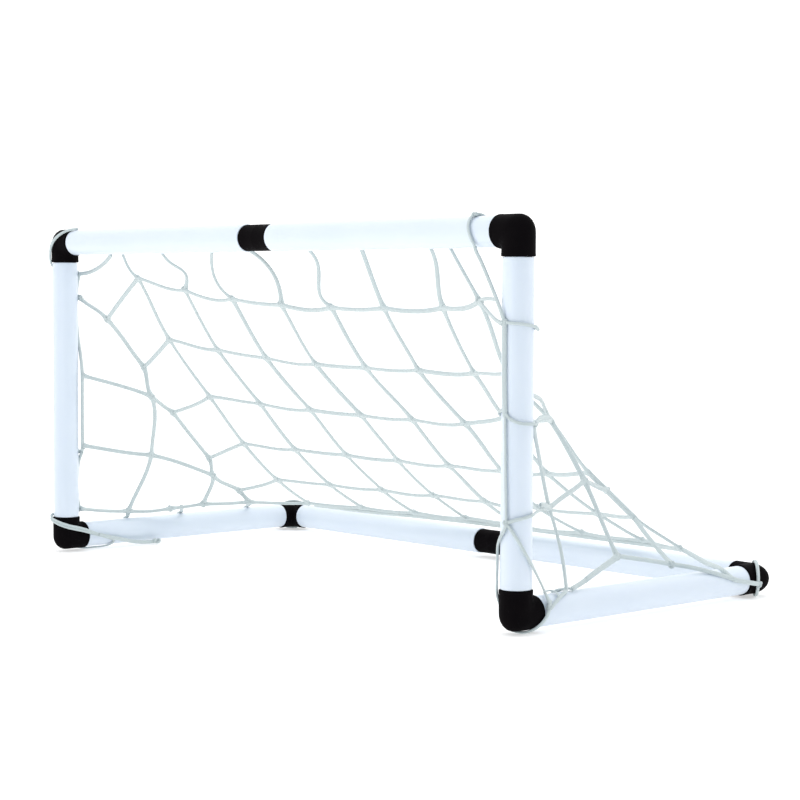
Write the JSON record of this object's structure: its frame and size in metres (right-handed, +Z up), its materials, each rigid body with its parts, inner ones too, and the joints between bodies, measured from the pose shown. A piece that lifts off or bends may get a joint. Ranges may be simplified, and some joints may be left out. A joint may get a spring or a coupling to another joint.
{
  "type": "hockey goal net",
  "caption": "Small free-standing hockey goal: white plastic tubes pushed onto black elbows and couplers, with a knotted net tied to the crossbar, posts and base.",
  "frame": {"origin": "on the floor under the middle of the goal, at the bottom centre of its bounding box", "axes": "+X to the right along the crossbar, as seen from in front of the mouth, +Y from the mouth to the back bar, +Z up"},
  "size_m": [0.6711, 0.3331, 0.3274],
  "materials": {
    "white_tube": "satin white tube",
    "black_connector": "moulded black plastic",
    "net_cord": "braided pale grey cord"
  },
  "bodies": {
    "root": {"left_post": "white_tube", "right_post": "white_tube", "left_side_tube": "white_tube", "right_side_tube": "white_tube", "crossbar_left_tube": "white_tube", "crossbar_right_tube": "white_tube", "back_bar_left_tube": "white_tube", "back_bar_right_tube": "white_tube", "top_left_elbow": "black_connector", "top_right_elbow": "black_connector", "bottom_left_elbow": "black_connector", "bottom_right_elbow": "black_connector", "back_left_elbow": "black_connector", "back_right_elbow": "black_connector", "crossbar_coupler": "black_connector", "back_bar_coupler": "black_connector", "net_back_panel": "net_cord", "net_left_panel": "net_cord", "net_right_panel": "net_cord", "loop_top_left": "net_cord", "loop_bottom_left": "net_cord", "loop_bottom_right": "net_cord", "loop_back_left": "net_cord", "loop_back_right": "net_cord", "tie_crossbar_right": "net_cord", "tie_left_post_upper": "net_cord", "tie_left_post_lower": "net_cord", "tie_right_post_upper": "net_cord", "tie_right_post_middle": "net_cord", "tie_left_side_front": "net_cord", "tie_left_side_middle": "net_cord", "tie_left_side_back": "net_cord", "tie_right_side": "net_cord", "tail_bottom_left": "net_cord", "tail_knot": "net_cord"}
  },
  "joints": []
}
